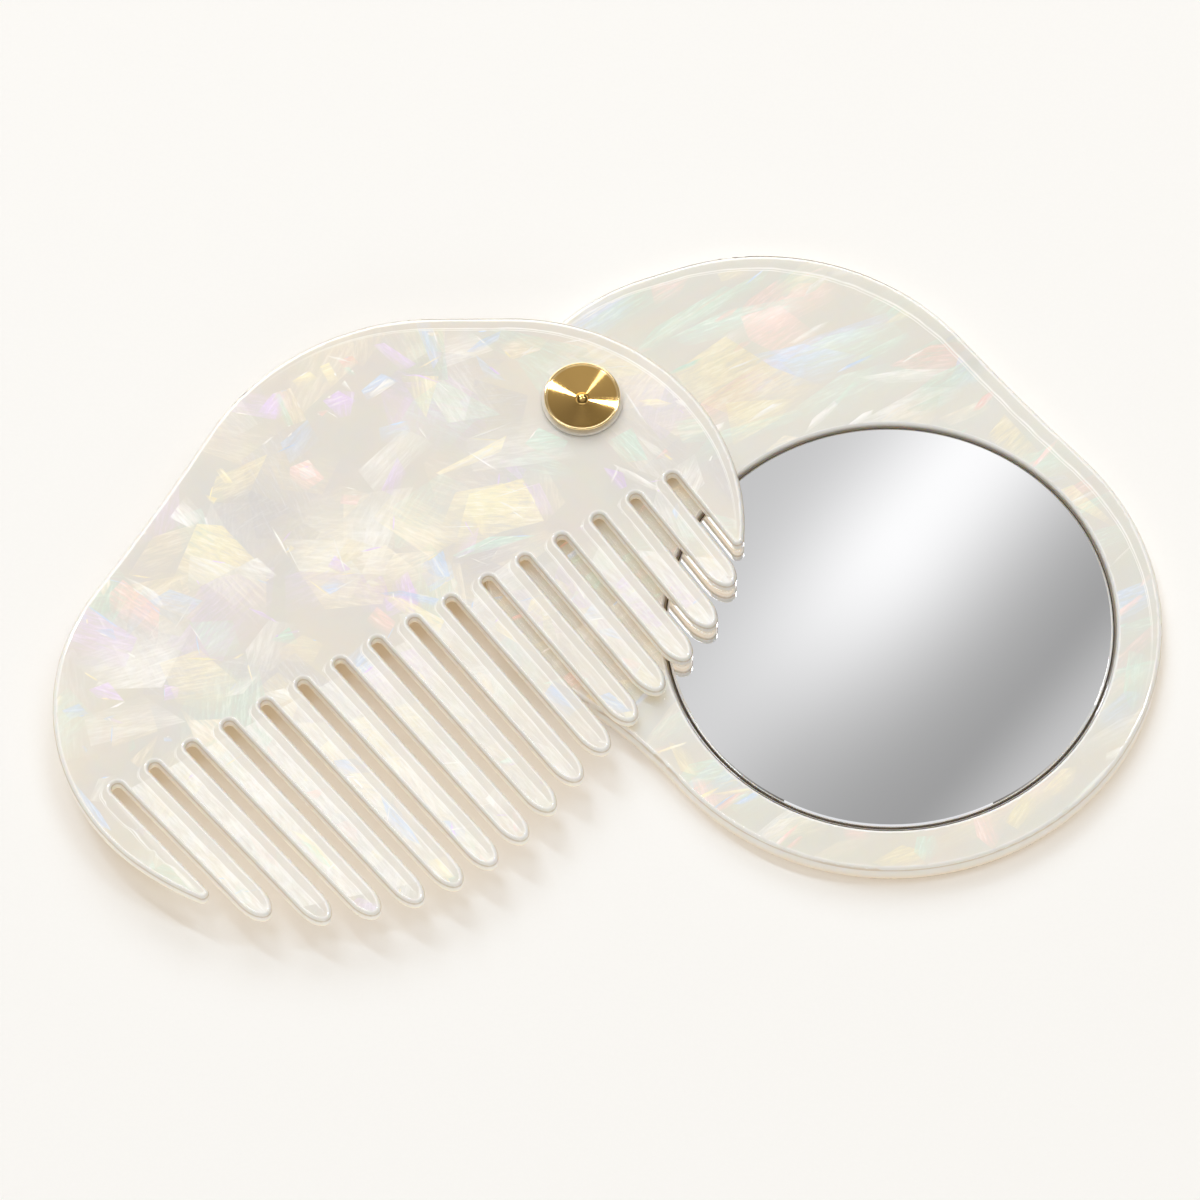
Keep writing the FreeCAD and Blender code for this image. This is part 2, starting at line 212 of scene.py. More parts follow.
# Flakes that stand out: tint, strength, heading of the grain, corners in millimetres
comb_marks = [
    ("white", 0.65, 130, ((-100, -26), (-86, -44), (-52, -36), (-30, -12), (-34, 14), (-60, -2),
                          (-80, -14))),
    ("white", 0.65, -50, ((-42.5, -0.4), (-38.7, -10.6), (-32.2, -15.6), (-29, -12), (-19.9, 2.5),
                          (-20.6, 8.3), (-37.4, 10.4))),
    ("mint", 0.35, -20, ((-58.5, 22.9), (-53.6, 28.5), (-50.2, 29.5), (-57.8, 34.6), (-61.6, 31.5),
                         (-64.7, 26))),
    ("grey", 0.5, 30, ((-84, 9.7), (-79.9, 9.3), (-75.1, 14.8), (-83, 18.7), (-87.5, 16.3))),
    ("cream", 0.5, 20, ((-94.4, 5.5), (-90.3, 10.9), (-89.4, 13.6), (-95.1, 11.7), (-98.2, 6.2))),
    ("gold", 0.95, -25, ((-93, 4.1), (-90.6, 3.5), (-82, 8.5), (-86.1, 13.3), (-89.4, 13.6))),
    ("white", 0.6, -30, ((-90.6, 3.5), (-84, 7.4), (-90.3, 9))),
    ("pink", 0.75, -35, ((-100.6, 1.2), (-94.4, -4.2), (-94.1, 1.2), (-98.9, 5.5), (-100.6, 3.5))),
    ("white", 0.8, -45, ((-94.3, 1), (-93.7, 2), (-94.9, 3.9), (-98.8, 6))),
    ("gold", 0.55, 30, ((-88, 16.9), (-83.4, 16.3), (-80.4, 23.7), (-87, 20.4))),
    ("pink", 0.95, -30, ((-77.5, 20.2), (-75.4, 18.3), (-73, 20.2), (-75.1, 22.9), (-77.5, 21.8))),
    ("white", 0.6, -30, ((-75.9, 19.8), (-74, 20.6), (-74.7, 22.1), (-76.4, 21.6))),
    ("lilac", 1, 20, ((-71.3, 29.3), (-69, 31.5), (-71.3, 33), (-73.3, 31.5))),
    ("blue", 1, 30, ((-67.5, 31.5), (-63.5, 34.4), (-65.7, 35.5), (-68.3, 33))),
    ("white", 0.8, 30, ((-66.8, 31.8), (-63.8, 34.2), (-64.7, 34.8), (-67.3, 32.4))),
    ("gold", 0.95, 20, ((-76.4, 33.4), (-74, 34.8), (-75.1, 35.9), (-77.3, 34.4))),
    ("gold", 1, 20, ((-72.3, 33.6), (-71.1, 34.2), (-72.5, 37.1), (-73.7, 36.5))),
    ("pink", 0.9, 20, ((-70.6, 36.3), (-68.5, 36.9), (-69.5, 38.1), (-71.3, 37.5))),
    ("lilac", 0.8, -40, ((-63, 35.7), (-61.2, 36.9), (-65.4, 40), (-66.8, 39.6))),
    ("cream", 0.7, -70, ((-78.2, 27.6), (-75.4, 28.7), (-77.5, 33.4), (-80.2, 32.4))),
    ("mint", 0.6, -70, ((-78, 27.7), (-77, 28), (-78.9, 32.6), (-79.9, 32.2))),
    ("gold", 1, 25, ((-58.1, 20.7), (-54.3, 22.1), (-50.2, 24.1), (-49.5, 26.4), (-54.3, 23.5), (-58.6, 21))),
    ("white", 0.8, 25, ((-54.3, 22.3), (-51.6, 24.1), (-51.2, 24.9), (-54.3, 22.9), (-58, 21.2))),
    ("lilac", 0.9, -20, ((-70.9, 6.4), (-69.5, 7), (-71.6, 9), (-72.5, 7.4))),
    ("cream", 0.6, 10, ((-66.8, 4.3), (-60.5, 5.3), (-61.2, 7), (-65, 10.5), (-69.9, 9))),
    ("blue", 0.9, -60, ((-58.5, 5.9), (-56.7, 5.9), (-57.6, 9.7), (-60.9, 7.4))),
    ("blue", 0.9, -15, ((-61.9, 2.7), (-58.8, 1.2), (-58.1, 2.7), (-63, 3.9), (-65.9, 3.5))),
    ("gold", 0.9, -35, ((-58.5, -3.1), (-57.4, -0.4), (-62.6, 2.7), (-65.7, 3.3))),
    ("pink", 0.8, -35, ((-64.7, -3.1), (-63.7, -0.7), (-66.1, 1.6), (-67.5, -0.4))),
    ("lilac", 0.8, -28, ((-80.9, 0), (-78.8, -0.8), (-80.9, 0.8), (-82.7, 1.4))),
    ("lilac", 0.9, -20, ((-102, -11.6), (-98.6, -12), (-100.6, -9.3), (-103.1, -10.4))),
    ("lilac", 0.9, 20, ((-93.4, -12), (-91.7, -11.6), (-91.5, -10.1), (-93.4, -9.7))),
    ("blue", 0.7, 5, ((-105.5, -14.7), (-103.1, -13.9), (-104.4, -12.4), (-106.5, -13.4))),
    ("gold", 0.5, 10, ((-91.7, -12.4), (-85.4, -13.9), (-84, -9.3), (-88.9, -4.6), (-94.1, -6.6))),
    ("mint", 0.45, 60, ((-87.5, -5.8), (-83.4, -5.4), (-84.7, -0.4), (-90.3, -0.7))),
    ("gold", 0.95, 0, ((-56.4, 9.1), (-50.2, 12.4), (-44.6, 14), (-47.4, 20.2), (-54.3, 17.9))),
    ("mint", 0.9, 12, ((-55.4, 8.5), (-45.7, 11.9), (-51.6, 11.7), (-56.4, 9))),
    ("mint", 0.9, 5, ((-46, 24.5), (-42.6, 23.3), (-41.5, 25.6), (-45.3, 27.6), (-47.1, 25.2))),
    ("mint", 0.9, -50, ((-34.3, 22.5), (-31.2, 22.9), (-33.2, 27.6), (-36.4, 25.6))),
    ("white", 0.7, -30, ((-30.1, 23.1), (-26.3, 21.2), (-30.1, 24.9), (-32.9, 26.8))),
    ("lilac", 1, -50, ((-35.3, 18.3), (-33.9, 19), (-34.3, 21), (-36.9, 21.8))),
    ("white", 0.9, -35, ((-33.9, 20.2), (-30.8, 18.7), (-28.4, 17.9), (-32.9, 21), (-35.7, 22.3))),
    ("gold", 0.9, 5, ((-30.1, 30.3), (-27.9, 31.1), (-30.1, 31.8), (-32.5, 31.6))),
    ("blue", 0.5, -30, ((-52.3, 34.9), (-49.5, 34.4), (-53.6, 38.4))),
    ("blue", 1, -30, ((-41.5, -14.3), (-38.7, -12), (-43.3, -9.1), (-44.8, -11.4))),
    ("blue", 0.8, -30, ((-35.6, -14), (-33.1, -13.4), (-36.2, -10.8), (-38.5, -11.7))),
    ("blue", 1, -50, ((-64, -30.9), (-60.4, -32.6), (-62.9, -28), (-65.6, -25.2))),
    ("blue", 0.8, -20, ((-70.8, -22.6), (-67, -22.3), (-68.8, -20.3), (-71.6, -20.6))),
    ("gold", 0.8, -50, ((-73.9, -34.9), (-70.3, -36.6), (-74.4, -31.7), (-77.5, -30.3))),
    ("mint", 0.8, -50, ((-73.4, -34.9), (-71.4, -36.3), (-73.9, -32.9), (-76.5, -31.5))),
    ("pink", 0.8, 10, ((-73.7, -26.3), (-72.6, -24.5), (-75.2, -25.2))),
    ("blue", 0.9, -60, ((-103, -29.2), (-100, -30.6), (-101.5, -28), (-104.9, -23.7))),
    ("lilac", 0.7, -40, ((-95.9, -31.5), (-95.6, -30), (-97.4, -30.6))),
    ("gold", 0.8, -50, ((-58.1, -38), (-56.1, -37.2), (-57.1, -34.3), (-59.4, -34.9))),
    ("cream", 0.8, -40, ((-89.2, -18.9), (-85.6, -19.4), (-85.1, -14.6), (-90.2, -14.8))),
    ("pink", 0.5, -50, ((-81.1, -34.3), (-78.5, -36), (-79, -32.6), (-82.6, -30.3))),
    ("blue", 0.5, -50, ((-58.1, -31.5), (-55.5, -32.6), (-56.6, -29.2), (-58.6, -29.2))),
]
leaf_marks = [
    ("mint", 0.56, 35, ((-37.4, 41.7), (-32.3, 44), (-25.7, 50.2), (-27.2, 52.5), (-34.9, 47.4),
                        (-39.5, 44))),
    ("mint", 0.52, 35, ((-24.7, 43.4), (-17, 49.1), (-15, 52.5), (-19.6, 49.7), (-27.2, 44))),
    ("pink", 0.52, 30, ((-30.3, 46.8), (-27.2, 48), (-25.7, 51.1), (-30.8, 49.7))),
    ("gold", 0.45, 30, ((-21.6, 50.2), (-18, 51.1), (-17.5, 52.8), (-22.1, 51.4))),
    ("pink", 0.64, 35, ((-18, 41.7), (-12.9, 38.8), (-6.8, 40.5), (-14, 46.8), (-19.1, 45.1))),
    ("blue", 0.56, 20, ((-14, 34.8), (-6.8, 35.4), (-3.8, 39.4), (-10.9, 41.1), (-18, 39.4))),
    ("gold", 0.71, 30, ((-25.7, 33.1), (-18, 29.6), (-9.9, 31.4), (-6.8, 34.2), (-15, 37.7),
                        (-21.1, 42.2), (-27.7, 37.1))),
    ("gold", 0.68, 30, ((-20.1, 26.2), (-14, 30.2), (-11.9, 33.1), (-21.1, 32.5))),
    ("white", 0.6, 8, ((-0.2, 35.4), (6.5, 35.6), (8.5, 37.4), (2.4, 37.4), (-3.8, 36.2))),
    ("mint", 0.45, 30, ((-2.7, 37.7), (3.4, 41.7), (2.4, 42.8), (-4.8, 38.8))),
    ("mint", 0.38, 20, ((4.9, 30.2), (8.5, 33.1), (6.5, 33.6), (2.4, 31.4))),
    ("gold", 0.6, 45, ((18.7, 23.3), (19.7, 25.1), (15.1, 30.8), (12.6, 27.3))),
    ("gold", 0.52, 40, ((28.4, 14.7), (30.4, 13.6), (23.8, 20.5), (21.2, 19.3))),
    ("cream", 0.45, 30, ((8, 29.1), (13.6, 31.4), (12.6, 33.1), (6.5, 30.2))),
    ("pink", 0.6, 110, ((-25.8, -21.7), (-24.2, -27), (-21.6, -25.3), (-22.5, -22.4))),
    ("gold", 0.6, 120, ((-28.6, -16.6), (-27, -20.9), (-24.5, -21.7), (-25.8, -18))),
    ("gold", 0.6, 20, ((-2.5, -34), (0.1, -35.1), (3.9, -34.8), (4.6, -32.5), (1.3, -31.5))),
    ("mint", 0.7, 70, ((2.9, -32.5), (4.6, -34.3), (6.2, -32.2), (5.5, -30.1), (3.3, -30.3))),
    ("pink", 0.6, 5, ((-6.4, -29), (-5.8, -30.8), (-2.8, -30.8), (-2.5, -29))),
    ("pink", 0.7, 110, ((10.4, -27.4), (11, -30.3), (13, -32.2), (14.5, -29.6), (13, -26.4))),
    ("gold", 0.75, 60, ((14.6, -28.2), (16.6, -29.6), (18.4, -27.4), (18.8, -23.8), (16.8, -24.5))),
    ("gold", 0.6, 45, ((19.4, -23.8), (21, -24.5), (23.3, -23.1), (23.9, -20.2), (22, -20.6))),
    ("mint", 0.6, 80, ((30, -9.3), (31, -12.5), (33.1, -9.3), (33.3, -4.3), (30.8, -3.5))),
]

Flake = namedtuple("Flake", "corners centre heading half_length half_width tint strength soft seed")
no_flake = Flake((), Vector((0, 0)), 0.0, 1.0, 1.0, "white", 0.0, 0.0, 0.0)
# How uneven the corners of a chance flake are, and the share of it that turns them
uneven = 0.25
uneven_turn = 0.8
# Layers of flakes that may lie over each other, and how far a flake tilts the pearl's sheen
layers = 3
flake_lean = 0.12
# A flake fades to one side, and a soft one also to its ends, in shares of its half width and half length
flake_fade = Ramp(-1.0, 0.4, 0.08, 1.0)
flake_ends = Ramp(0.3, 1.0)
# Brushed grain: how it is drawn out along a flake, its fineness, the tint it lets show, its glints, and
# how far the seeds of the flakes set their grains apart
grain_draw = 0.14
grain_fineness = 2.2
grain_cover = Ramp(0.36, 0.6, 0.2, 1.0)
grain_glint = Ramp(0.52, 0.66, 0.0, 0.8)
grain_shift = 90

# Painted band along the far edges, in shares of its width: a pale painted reflection, two painted
# highlight lines by middle and half width, and how both wobble
painted_band_cover = Ramp(0.8, 1.0, 0.75, 0.0)
outer_highlight_line = (0.9, 0.13)
inner_highlight_line = (1.12, 0.07)
wobble_fineness = 0.3
band_wobble = Ramp(0.3, 0.7, -0.04, 0.04)
highlight_line_strength = Ramp(0.32, 0.55, 0.7, 1.0)
# Widths from which the band shows, and the painted rim highlight and the side that takes painted shade,
# by distance from the edge, in millimetres
far_band = Ramp(0.35, 0.9)
rim_highlight = Ramp(-0.05, 0.15, 0.75, 0.0)
foot_shade_side = Ramp(-0.02, -0.1)
# Painted warm shade on the side towards the foot, by the share of the way down
foot_shade_depth = Ramp(0.6, 1.0, 0.0, 0.5)

# Ground of the pearl
cloud_fineness = 0.05
cloud_cover = Ramp(0.35, 0.65)
wisp_fineness = 0.16
wisp_share = 0.14
# Light that comes through a pearl sheet, and its painted glow, by emission, on faces by how far they look up
light_through = (0.56, 0.44, 0.28, 1.0)
underside_glow_colour = (1.0, 0.92, 0.8, 1.0)
underside_glow = Ramp(0.1, -0.6, 0.0, 0.42)

# Clear skin over the pearl: its clear tone and a deeper tone painted as shade for a dark outline, where
# the painted shade lies by how far a face looks up, and polish
skin_clear = srgb(253, 251, 247)
skin_outline_shade = srgb(205, 186, 160)
outline_shade_band = (0.42, 0.3)
skin_polish = Ramp(0.35, 0.7, 0.01, 0.05)

# Metals and glass: tones, with a painted highlight on the gold's rim and painted shade on the glass's rim,
# roughness, and the width over which a rim sets in, in millimetres
gold_dish = srgb(224, 184, 112)
gold_rim_highlight = srgb(255, 228, 172)
gold_polish = Ramp(0.3, 0.7, 0.03, 0.09)
gold_blend = 0.1
silver = srgb(236, 236, 237)
silver_rim_shade = srgb(92, 82, 72)
silver_haze = Ramp(0.35, 0.7, 0.004, 0.02)
silver_blend = 0.06
steel_grey = srgb(190, 190, 192)
steel_polish = Ramp(0.3, 0.7, 0.25, 0.45)
# Fine specks: where their lighter shade shows, and how much their roughness differs
speck_cover = Ramp(0.35, 0.65)
speck_sheen = 0.06


def unit(heading):
    """Direction in the plane of the leaves, from an angle in degrees."""
    return Vector((math.cos(math.radians(heading)), math.sin(math.radians(heading))))


def shard(chance, centre, heading, length, width, tint, strength, soft, corners=4):
    """Irregular flake about a point, in millimetres."""
    along = unit(heading)
    across = unit(heading + 90)
    start = chance.random()
    points = []
    for corner in range(corners):
        turn = 2 * math.pi * (corner + start + uneven * chance.uniform(-uneven_turn, uneven_turn)) / corners
        reach = 1 + uneven * chance.uniform(-1, 1)
        points.append(centre + along * (math.cos(turn) * reach * length / 2)
                      + across * (math.sin(turn) * reach * width / 2))
    return Flake(points, centre, heading, length / 2, width / 2, tint, strength, soft, chance.random())


def mark(chance, tint, strength, heading, corners, soft):
    """Flake with given corners, in millimetres."""
    points = [Vector(corner) for corner in corners]
    centre = sum(points, Vector((0, 0))) / len(points)
    half_length = max(abs((point - centre).dot(unit(heading))) for point in points)
    half_width = max(abs((point - centre).dot(unit(heading + 90))) for point in points)
    return Flake(points, centre, heading, half_length, half_width, tint, strength, soft, chance.random())


def flake_layer(made, number, below):
    """One layer of flakes over the colour below, and how it tilts the sheen. Each flake fades to one
    side, and has a brushed grain with glints."""
    tint = made.node("Attribute", attribute_name=f"flake_tint_{number}").outputs
    place = made.attribute(f"flake_place_{number}")
    form = made.attribute(f"flake_form_{number}")
    along = made.math("ABSOLUTE", made.times(place[0], form[0]))
    fade = made.span(made.times(place[1], form[1]), *flake_fade, smooth=True)
    ends = made.times(made.span(along, *flake_ends, smooth=True), form[2])
    cover = made.times(tint["Alpha"], fade, made.math("SUBTRACT", 1.0, ends))
    drawn = made.node("CombineXYZ", {0: made.times(place[0], grain_draw), 1: place[1], 2: place[2]})
    grain = made.noise(drawn.outputs[0], grain_fineness, detail=6.0, roughness=0.72).outputs["Fac"]
    colour = made.mix(made.times(cover, made.span(grain, *grain_cover)), below, tint["Color"])
    colour = made.mix(made.times(cover, made.span(grain, *grain_glint)), colour, tints["white"])
    way = made.node("CombineXYZ", {0: made.math("COSINE", place[2]), 1: made.math("SINE", place[2])})
    inputs = {0: way.outputs[0], "Scale": made.times(cover, flake_lean)}
    return colour, made.node("VectorMath", inputs, operation="SCALE").outputs[0]


def painted_edge_light(made, colour, painted_band_tone):
    """Painted light along the edges: a pale painted reflection on the far edges that ends in two painted
    highlight lines, a painted white highlight on the rim, and painted warm shade on its side towards the
    foot."""
    distance, width, depth = made.attribute("leaf_edge")
    wobble = made.noise(made.place(), wobble_fineness, detail=2.0).outputs["Fac"]
    share = made.math("ADD", made.math("DIVIDE", distance, width), made.span(wobble, *band_wobble))
    far = made.span(width, *far_band)
    # Pale painted reflection and two painted highlight lines on the far edges
    within = made.times(made.span(share, *painted_band_cover, smooth=True), far)
    lines = made.math("MAXIMUM", made.stripe(share, *outer_highlight_line), made.stripe(share, *inner_highlight_line))
    lines = made.times(lines, far, made.span(wobble, *highlight_line_strength))
    # Painted white highlight on the rim and the face's edge
    rim = made.span(distance, *rim_highlight, smooth=True)
    # Painted warm shade on the rim's side towards the foot
    painted_foot_shade = made.times(made.span(distance, *foot_shade_side), made.span(depth, *foot_shade_depth))
    colour = made.mix(within, colour, painted_band_tone)
    colour = made.mix(made.math("MAXIMUM", lines, rim), colour, tints["white"])
    return made.mix(painted_foot_shade, colour, tints["painted_shade_tan"])


def pearl(name, ground, cloud, painted_band_tone, streak_turn, streak_stretch):
    """Milky ground with soft clouds, and over it the flakes that the core's faces carry, with painted light
    along the edges. A painted glow, by emission, shows light that comes through the sheet on its underside."""
    made = Shader(name)
    drawn = made.place(streak_turn, streak_stretch)
    clouds = made.noise(drawn, cloud_fineness, detail=3.0, roughness=0.6, distortion=0.4).outputs["Fac"]
    colour = made.mix(made.span(clouds, *cloud_cover), ground, cloud)
    wisps = made.noise(drawn, wisp_fineness, detail=5.0, roughness=0.6, distortion=0.8).outputs["Color"]
    colour = made.mix(wisp_share, colour, wisps, blend="SOFT_LIGHT")
    leaning, up = made.facing()
    # Painted glow, by emission, on faces that look down, where they are seen through the clear skin
    through_skin = made.node("LightPath").outputs["Is Transmission Ray"]
    glow = made.times(made.span(up, *underside_glow), through_skin)
    for number in range(layers):
        colour, lean = flake_layer(made, number, colour)
        leaning = made.vector("ADD", leaning, lean)
    made.set(Base_Color=painted_edge_light(made, colour, painted_band_tone), Roughness=0.32,
             Normal=made.vector("NORMALIZE", leaning), Subsurface_Weight=0.6,
             Subsurface_Scale=1.5 * MM, Subsurface_Radius=(1.0, 0.85, 0.65),
             Emission_Color=underside_glow_colour, Emission_Strength=glow)
    made.lets_light(light_through)
    return made.material


def clear_skin(name):
    """Clear polished acetate over the pearl, with painted shade for a dark outline along the shoulder of its
    edges, and faint handling marks."""
    made = Shader(name)
    marks = made.noise(made.place(turn=35.0, stretch=6.0), scale=0.9, detail=6.0, roughness=0.7)
    _, up = made.facing()
    # Painted shade on the shoulders of the edges, for a dark outline
    outline_shade = made.stripe(made.math("ABSOLUTE", up), *outline_shade_band)
    made.set(Base_Color=made.mix(outline_shade, skin_clear, skin_outline_shade),
             Roughness=made.span(marks.outputs["Fac"], *skin_polish), IOR=1.49, Transmission_Weight=1.0)
    return made.material


def from_axis(made, axis):
    """Distance from an upright axis in millimetres."""
    flat = made.vector("MULTIPLY", made.place(), (1.0, 1.0, 0.0))
    centre = (axis.x / MM, axis.y / MM, 0.0)
    return made.node("VectorMath", {0: flat, 1: centre}, operation="DISTANCE").outputs["Value"]


def turned(made, axis, fineness):
    """Uneven rings about an upright axis, as a lathe leaves them."""
    radius = made.node("CombineXYZ", {0: from_axis(made, axis)}).outputs[0]
    return made.noise(radius, fineness, detail=4.0).outputs["Fac"]


def gold(axis, rim):
    """Polished gold with turning marks, and a painted highlight on its rim from a radius on, in millimetres.
    """
    made = Shader("gold_metal")
    rings = turned(made, axis, fineness=7.0)
    # Painted highlight on the rim
    rim_highlight_share = made.span(from_axis(made, axis), rim - gold_blend, rim)
    made.set(Base_Color=made.mix(rim_highlight_share, gold_dish, gold_rim_highlight), Metallic=1.0,
             Roughness=made.span(rings, *gold_polish),
             Normal=made.bump(rings, strength=0.1, distance=0.001 * MM))
    return made.material


def mirror(axis, rim):
    """Silvered glass with a trace of haze, and painted shade on its rim from a radius on, in millimetres."""
    made = Shader("silvered_glass")
    haze = made.noise(made.place(), scale=0.08, detail=4.0).outputs["Fac"]
    # Painted shade on the rim
    rim_shade_share = made.span(from_axis(made, axis), rim - silver_blend, rim)
    made.set(Base_Color=made.mix(rim_shade_share, silver, silver_rim_shade), Metallic=1.0,
             Roughness=made.span(haze, *silver_haze))
    return made.material


def steel(axis):
    """Spring steel with turning marks."""
    made = Shader("spring_steel")
    rings = turned(made, axis, fineness=5.0)
    made.set(Base_Color=steel_grey, Metallic=1.0, Roughness=made.span(rings, *steel_polish),
             Normal=made.bump(rings, strength=0.3, distance=0.006 * MM))
    return made.material


def speckled(name, colour, shade, fineness, roughness, height):
    """Two close shades in fine specks, with as fine a roughness of the surface. Height is in metres."""
    made = Shader(name)
    specks = made.noise(made.place(), fineness, detail=4.0, roughness=0.6).outputs["Fac"]
    sheen = Ramp(0.3, 0.7, roughness + speck_sheen, roughness - speck_sheen)
    made.set(Base_Color=made.mix(made.span(specks, *speck_cover), shade, colour),
             Roughness=made.span(specks, *sheen),
             Normal=made.bump(specks, strength=0.4, distance=height))
    return made.material


# Pearl core inside the clear acetate of each leaf, in millimetres
core_skin = 0.2
rim_skin = 0.3
post_bore = 2.3
rear_pocket = 4.6
pocket_gap = 0.25
slab_gap = 0.02
# Painted reflection band along a core's edges, narrow and wide, and how it widens towards the far side
comb_band = (0.2, 1.35)
leaf_band = (0.3, 1.8)
far_side = unit(62.0)
band_growth = 1.5
# Steps of circles and rounded rims, and the finest step along an edge
circle_steps = 128
round_steps = 3
edge_step = 0.4
# Lines of the mesh along the edges by their distances, and the share of it that has to be clear
band_lines = (0.5, 1.0, 2.2)
line_clearance = 0.97
# How close points of a face lie to its plane, digits that tell its corners apart, how close points of cuts
# are one, and the way of cutting that gives every triangle
flat_within = 0.001
corner_digits = 4
cut_within = 1e-4
all_triangles = 0


def face_outline(node):
    """Points round the flat upper face of a CAD node, with the material on their left."""
    mesh = nodes[node].data
    top = max(vertex.co.z for vertex in mesh.vertices)
    key = {}
    for vertex in mesh.vertices:
        key[vertex.index] = tuple(round(value / MM, corner_digits) for value in vertex.co[:2])
    counted = {}
    for face in mesh.polygons:
        flat = all(abs(mesh.vertices[i].co.z - top) < flat_within * MM for i in face.vertices)
        if not flat:
            continue
        corners = [key[i] for i in face.vertices]
        for start, end in zip(corners, corners[1:] + corners[:1]):
            if (end, start) in counted:
                del counted[end, start]
            else:
                counted[start, end] = True
    following = dict(counted.keys())
    loops = []
    while following:
        start, point = following.popitem()
        loop = [start]
        while point != loop[0]:
            loop.append(point)
            point = following.pop(point)
        loops.append([Vector(point) for point in loop])
    return max(loops, key=lambda loop: max(p.x for p in loop) - min(p.x for p in loop))


def circle(centre, radius):
    """Loop of points on a circle, with the material inside."""
    x, y = centre.x / MM, centre.y / MM
    turns = [2 * math.pi * step / circle_steps for step in range(circle_steps)]
    return [Vector((x + radius * math.cos(turn), y + radius * math.sin(turn))) for turn in turns]


def resampled(loop, step):
    """A loop with no run longer than a step."""
    points = []
    for start, end in zip(loop, loop[1:] + loop[:1]):
        count = max(1, math.ceil((end - start).length / step))
        points += [start.lerp(end, number / count) for number in range(count)]
    return points


def inward(loop):
    """Direction square to a loop at each of its points, towards the material."""
    found = []
    for before, point, after in zip(loop[-1:] + loop[:-1], loop, loop[1:] + loop[:1]):
        way = (point - before).normalized() + (after - point).normalized()
        found.append(Vector((-way.y, way.x)).normalized())
    return found


class Face:
    """A flat face with holes, the width of the painted reflection band along its edges, and ways to measure
    from them.
    """

    def __init__(self, outline, holes, narrow, wide):
        """The band is narrow along the holes and the near side, and widens towards the far side."""
        self.loops = [outline, *[list(reversed(hole)) for hole in holes]]
        self.known = []
        fine_loops = [resampled(loop, edge_step) for loop in self.loops]
        self.tree = KDTree(sum(len(fine) for fine in fine_loops))
        for fine in fine_loops:
            for point, normal in zip(fine, inward(fine)):
                away = max(0.0, -normal.dot(far_side)) if fine is fine_loops[0] else 0.0
                self.tree.insert(point.to_3d(), len(self.known))
                self.known.append((normal, narrow + (wide - narrow) * away ** band_growth))
        self.tree.balance()

    def nearest(self, point):
        """Distance from the edge, the direction inward there, and the width of the band there."""
        _, number, distance = self.tree.find(point.to_3d())
        return distance, *self.known[number]

    def lines(self):
        """Runs at even distances along the edges, left out where the face is too narrow for them."""
        runs = []
        for loop in self.loops:
            for inset in band_lines:
                moved = [point + normal * inset for point, normal in zip(loop, inward(loop))]
                clear = [self.nearest(point)[0] > line_clearance * inset for point in moved]
                for number, point in enumerate(moved):
                    if clear[number - 1] and clear[number]:
                        runs.append((moved[number - 1], point))
        return runs


def reach_of(flake):
    """Distance of a flake's outermost corner from its middle."""
    return max((corner - flake.centre).length for corner in flake.corners)


def cut_up(face, flakes):
    """Triangles of a face, cut along the edges of the flakes, with the uppermost flakes on each."""
    points = []
    areas = []
    for loop in [*face.loops, *[flake.corners for flake in flakes]]:
        area = list(range(len(points), len(points) + len(loop)))
        areas.append(area if loop not in face.loops[1:] else area[::-1])
        points += loop
    runs = []
    for run in face.lines():
        runs.append((len(points), len(points) + 1))
        points += run
    cut = delaunay_2d_cdt(points, runs, areas, all_triangles, cut_within, True)
    corners, _, triangles, _, _, inside = cut
    first_flake = len(face.loops)
    kept = []
    for triangle, within in zip(triangles, inside):
        if 0 not in within or any(0 < area < first_flake for area in within):
            continue
        middle = sum((corners[corner] for corner in triangle), Vector((0, 0))) / 3
        shown = [flakes[area - first_flake] for area in sorted(within) if area >= first_flake]
        shown = [flake for flake in shown if (middle - flake.centre).length < reach_of(flake)]
        kept.append((triangle, shown[-layers:]))
    return corners, kept


def rim_steps(low, high, radius):
    """Reach out from the face and height of each step down a rounded rim."""
    turns = [math.radians(90 * step / round_steps) for step in range(1, round_steps + 1)]
    upper = [(radius * math.sin(turn), high - radius + radius * math.cos(turn)) for turn in turns]
    return upper + [(reach, low + high - height) for reach, height in reversed(upper)]


def slab(face, flakes, low, high, radius):
    """Points with their edge values, and faces with their flakes, of a closed slab with rounded rims."""
    corners, kept = cut_up(face, flakes)
    number = {}
    for triangle, _ in kept:
        for corner in triangle:
            number.setdefault(corner, len(number))
    count = len(number)
    places = [corners[i] for i in number]
    measured = [face.nearest(place) for place in places]
    points = [(*place, height) for height in (high, low) for place in places]
    edges = [(distance, reach, depth) for depth in (0.0, 1.0) for distance, _, reach in measured]
    faces = []
    shown = []
    rim = set()
    for triangle, flakes_there in kept:
        top = [number[corner] for corner in triangle]
        faces += [top, [corner + count for corner in reversed(top)]]
        shown += [flakes_there, flakes_there]
        for start, end in zip(top, top[1:] + top[:1]):
            if (end, start) in rim:
                rim.remove((end, start))
            else:
                rim.add((start, end))
    columns = {}
    for corner in sorted({start for start, _ in rim}):
        _, normal, reach = measured[corner]
        columns[corner] = [corner]
        for out, height in rim_steps(low, high, radius):
            columns[corner].append(len(points))
            points.append((*(places[corner] - normal * out), height))
            edges.append((-out, reach, (high - height) / (high - low)))
        columns[corner].append(corner + count)
    for start, end in sorted(rim):
        left, right = columns[start], columns[end]
        faces += [[a, b, c, d] for a, b, c, d in zip(left, left[1:], right[1:], right)]
        shown += [[]] * (len(left) - 1)
    return points, edges, faces, shown


